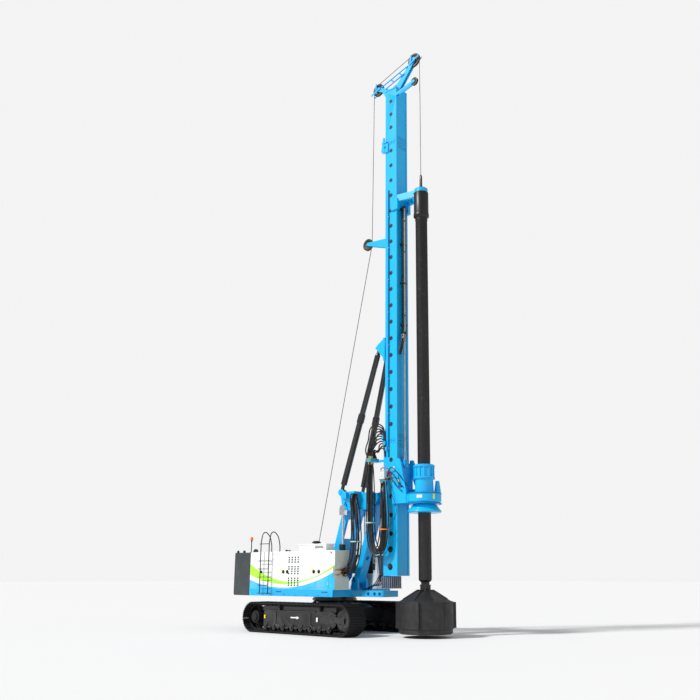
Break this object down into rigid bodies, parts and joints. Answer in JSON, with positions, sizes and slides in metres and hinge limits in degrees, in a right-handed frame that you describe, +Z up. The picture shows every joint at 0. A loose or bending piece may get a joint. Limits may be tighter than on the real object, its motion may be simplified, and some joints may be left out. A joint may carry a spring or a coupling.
{
  "type": "rotary drilling rig",
  "caption": "Crawler-mounted rotary piling rig with a slewing deck, tall leader mast, rotary drive on a crowd cylinder, telescopic kelly bar and a drilling bucket.",
  "frame": {"origin": "centre of the whole machine's plan, on the ground that the tracks stand on", "axes": "+X to the front of the machine, where the mast and bucket are; +Y to its left; +Z up"},
  "size_m": [9.55, 4.2, 22.87],
  "materials": {
    "blue": "gloss paint",
    "white": "gloss paint",
    "slate": "satin paint",
    "black": "satin paint, dusty",
    "track_steel": "worn steel",
    "charcoal": "worn dark steel",
    "chrome": "polished",
    "steel": "machined",
    "glass": "dark tinted",
    "seat": "woven",
    "rubber": "matt"
  },
  "bodies": {
    "undercarriage": {"carbody": "black"},
    "right_crawler": {"right_track": "track_steel", "right_track_frame": "black", "right_sprocket": "black"},
    "left_crawler": {"left_track": "track_steel", "left_track_frame": "black", "left_sprocket": "black"},
    "upperstructure": {"upper_frame": "blue", "counterweight": "slate", "right_housing": "white", "rear_housing": "white", "engine": "black", "cab": "white", "cab_front_glass": "glass", "operator_seat": "seat", "boarding_ladder": "black", "exhaust_stack": "black", "beacon": "black", "bulkhead_hoses": "rubber"},
    "side_door_1": {"side_door_1": "white"},
    "side_door_2": {"side_door_2": "white"},
    "side_door_3": {"side_door_3": "white"},
    "side_door_4": {"side_door_4": "white"},
    "cab_door": {"cab_door": "white", "cab_door_glass": "glass"},
    "winch_drum": {"winch_drum": "steel"},
    "boom": {"boom": "blue"},
    "strut": {"strut": "blue"},
    "triangle": {"triangle_frame": "blue"},
    "luff_barrels": {"right_luff_barrel": "black", "left_luff_barrel": "black"},
    "luff_rods": {"right_luff_rod": "chrome", "left_luff_rod": "chrome"},
    "mast_barrels": {"right_mast_barrel": "black", "left_mast_barrel": "black"},
    "right_mast_rod": {"right_mast_rod": "black"},
    "left_mast_rod": {"left_mast_rod": "black"},
    "mast": {"lower_mast": "blue", "middle_mast": "blue", "mast_head": "blue", "crowd_barrel": "black", "loop_hoses": "rubber"},
    "top_sheave": {"top_sheave": "steel"},
    "rear_sheave": {"rear_sheave": "steel"},
    "auxiliary_sheave": {"auxiliary_sheave": "steel"},
    "guide_pulley": {"guide_pulley": "steel"},
    "drive_carriage": {"drive_carriage": "blue", "crowd_rod": "chrome", "drive_gearbox": "blue"},
    "drive_sleeve": {"drive_sleeve": "blue"},
    "kelly_guide": {"kelly_guide": "blue", "rope_swivel": "black"},
    "kelly": {"kelly_bar": "charcoal", "drilling_bucket": "charcoal"},
    "bucket_door": {"bucket_door": "charcoal"}
  },
  "joints": [
    {"name": "right_crawler_extension", "type": "slide", "parent": "undercarriage", "child": "right_crawler", "axis": [0, -1, 0], "range_m": [-0.45, 0]},
    {"name": "left_crawler_extension", "type": "slide", "parent": "undercarriage", "child": "left_crawler", "axis": [0, 1, 0], "range_m": [-0.45, 0]},
    {"name": "slew", "type": "hinge", "parent": "undercarriage", "child": "upperstructure", "pos_m": [-0.535, 0, 1.285], "axis": [0, 0, 1], "continuous": true},
    {"name": "side_door_1_hinge", "type": "hinge", "parent": "upperstructure", "child": "side_door_1", "pos_m": [-2.302, -1.55, 2.2], "axis": [0, 0, -1], "range_deg": [0, 90]},
    {"name": "side_door_2_hinge", "type": "hinge", "parent": "upperstructure", "child": "side_door_2", "pos_m": [-0.878, -1.55, 2.2], "axis": [0, 0, 1], "range_deg": [0, 90]},
    {"name": "side_door_3_hinge", "type": "hinge", "parent": "upperstructure", "child": "side_door_3", "pos_m": [-0.752, -1.55, 2.2], "axis": [0, 0, -1], "range_deg": [0, 90]},
    {"name": "side_door_4_hinge", "type": "hinge", "parent": "upperstructure", "child": "side_door_4", "pos_m": [0.632, -1.55, 2.2], "axis": [0, 0, 1], "range_deg": [0, 90]},
    {"name": "cab_door_hinge", "type": "hinge", "parent": "upperstructure", "child": "cab_door", "pos_m": [-0.412, 1.55, 2.23], "axis": [0, 0, 1], "range_deg": [0, 100]},
    {"name": "winch_drum_spin", "type": "hinge", "parent": "upperstructure", "child": "winch_drum", "pos_m": [-1.555, 0, 2.2], "axis": [0, 1, 0], "continuous": true},
    {"name": "boom_luff", "type": "hinge", "parent": "upperstructure", "child": "boom", "pos_m": [-0.465, 0, 1.86], "axis": [0, 1, 0], "range_deg": [-2.5, 10], "deforming": ["bulkhead_hoses"]},
    {"name": "strut_swing", "type": "hinge", "parent": "upperstructure", "child": "strut", "pos_m": [0.735, 0, 1.86], "axis": [0, 1, 0], "range_deg": [-3.5, 11]},
    {"name": "triangle_level", "type": "hinge", "parent": "boom", "child": "triangle", "pos_m": [0.455, 0, 4.56], "axis": [0, 1, 0], "range_deg": [-11, 3.5]},
    {"name": "luff_barrel_swing", "type": "hinge", "parent": "upperstructure", "child": "luff_barrels", "pos_m": [0.425, 0, 1.76], "axis": [0, 1, 0], "range_deg": [-3.6, 11.39]},
    {"name": "luff_rod_stroke", "type": "slide", "parent": "luff_barrels", "child": "luff_rods", "axis": [0, 0, 1], "range_m": [-0.1796, 0.0599]},
    {"name": "mast_tilt", "type": "hinge", "parent": "triangle", "child": "mast", "pos_m": [1.965, 0, 4.8], "axis": [0, 1, 0], "range_deg": [-15, 5]},
    {"name": "mast_barrel_swing", "type": "hinge", "parent": "triangle", "child": "mast_barrels", "pos_m": [0.305, 0, 5.05], "axis": [0, 1, 0], "range_deg": [-15.78, 5.93]},
    {"name": "right_mast_rod_stroke", "type": "slide", "parent": "mast_barrels", "child": "right_mast_rod", "axis": [0.287, 0.0523, 0.9565], "range_m": [-0.4573, 0.1658]},
    {"name": "left_mast_rod_stroke", "type": "slide", "parent": "mast_barrels", "child": "left_mast_rod", "axis": [0.287, -0.0523, 0.9565], "range_m": [-0.4573, 0.1658]},
    {"name": "top_sheave_spin", "type": "hinge", "parent": "mast", "child": "top_sheave", "pos_m": [3.54, 0, 22.57], "axis": [0, 1, 0], "continuous": true},
    {"name": "rear_sheave_spin", "type": "hinge", "parent": "mast", "child": "rear_sheave", "pos_m": [1.595, 0, 22], "axis": [0, 1, 0], "continuous": true},
    {"name": "auxiliary_sheave_spin", "type": "hinge", "parent": "mast", "child": "auxiliary_sheave", "pos_m": [3.765, -0.27, 21.34], "axis": [0, 1, 0], "continuous": true},
    {"name": "guide_pulley_spin", "type": "hinge", "parent": "mast", "child": "guide_pulley", "pos_m": [1.235, -0.2, 14.94], "axis": [0, 1, 0], "continuous": true},
    {"name": "drive_crowd", "type": "slide", "parent": "mast", "child": "drive_carriage", "axis": [0, 0, 1], "range_m": [-1.4, 3.3], "deforming": ["loop_hoses"]},
    {"name": "drive_sleeve_spin", "type": "hinge", "parent": "drive_carriage", "child": "drive_sleeve", "pos_m": [3.825, 0, 4.84], "axis": [0, 0, 1], "continuous": true},
    {"name": "kelly_hoist", "type": "slide", "parent": "mast", "child": "kelly_guide", "axis": [0, 0, 1], "range_m": [-8.8, 2.4]},
    {"name": "kelly_spin", "type": "hinge", "parent": "kelly_guide", "child": "kelly", "pos_m": [3.825, 0, 16.45], "axis": [0, 0, 1], "continuous": true},
    {"name": "bucket_door_hinge", "type": "hinge", "parent": "kelly", "child": "bucket_door", "pos_m": [3.825, 0.96, 0.29], "axis": [1, 0, 0], "range_deg": [0, 80]}
  ],
  "couplings": [
    {"joint": "strut_swing", "follows": "boom_luff", "ratio": 1},
    {"joint": "triangle_level", "follows": "boom_luff", "ratio": -1},
    {"joint": "luff_barrel_swing", "follows": "boom_luff", "ratio": 1.0393},
    {"joint": "luff_rod_stroke", "follows": "boom_luff", "m_per_rad": -0.91427},
    {"joint": "mast_barrel_swing", "follows": "mast_tilt", "ratio": 0.98521},
    {"joint": "right_mast_rod_stroke", "follows": "mast_tilt", "m_per_rad": 1.6704},
    {"joint": "left_mast_rod_stroke", "follows": "mast_tilt", "m_per_rad": 1.6704},
    {"joint": "drive_sleeve_spin", "follows": "kelly_spin", "ratio": 1}
  ]
}
